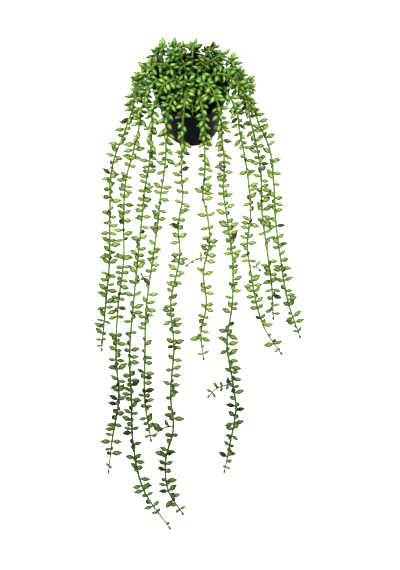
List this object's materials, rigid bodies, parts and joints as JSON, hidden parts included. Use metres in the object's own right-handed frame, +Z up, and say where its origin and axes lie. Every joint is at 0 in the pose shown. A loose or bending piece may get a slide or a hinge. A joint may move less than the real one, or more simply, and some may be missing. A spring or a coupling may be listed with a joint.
{
  "type": "potted string of pearls plant",
  "caption": "Trailing succulent with pointed bead-like leaves in a small round black plastic pot, its long stems lying out in front.",
  "frame": {"origin": "centre of the pot's underside, on the surface that the pot stands on", "axes": "+Z up along the pot's axis; -Y is the front, the way the long stems run out over the surface; +X to the right seen from the front"},
  "size_m": [0.23, 0.6552, 0.1162],
  "materials": {
    "pot": "satin black moulded plastic",
    "potting_mix": "dark brown crumbly potting mix",
    "foliage": "fleshy mid-green leaves and stems with a soft waxy gloss"
  },
  "bodies": {
    "root": {"pot": "pot", "soil": "potting_mix", "shoot_01": "foliage", "shoot_02": "foliage", "shoot_03": "foliage", "shoot_04": "foliage", "shoot_05": "foliage", "shoot_06": "foliage", "shoot_07": "foliage", "shoot_08": "foliage", "shoot_09": "foliage", "shoot_10": "foliage", "shoot_11": "foliage", "shoot_12": "foliage", "shoot_13": "foliage", "shoot_14": "foliage", "shoot_15": "foliage", "shoot_16": "foliage", "shoot_17": "foliage", "shoot_18": "foliage", "shoot_19": "foliage", "trail_01": "foliage", "trail_02": "foliage", "trail_03": "foliage", "trail_04": "foliage", "trail_05": "foliage", "trail_06": "foliage", "trail_07": "foliage", "trail_08": "foliage", "trail_09": "foliage", "trail_10": "foliage", "trail_11": "foliage", "trail_12": "foliage", "trail_13": "foliage", "trail_14": "foliage", "trail_15": "foliage", "trail_16": "foliage"}
  },
  "joints": []
}
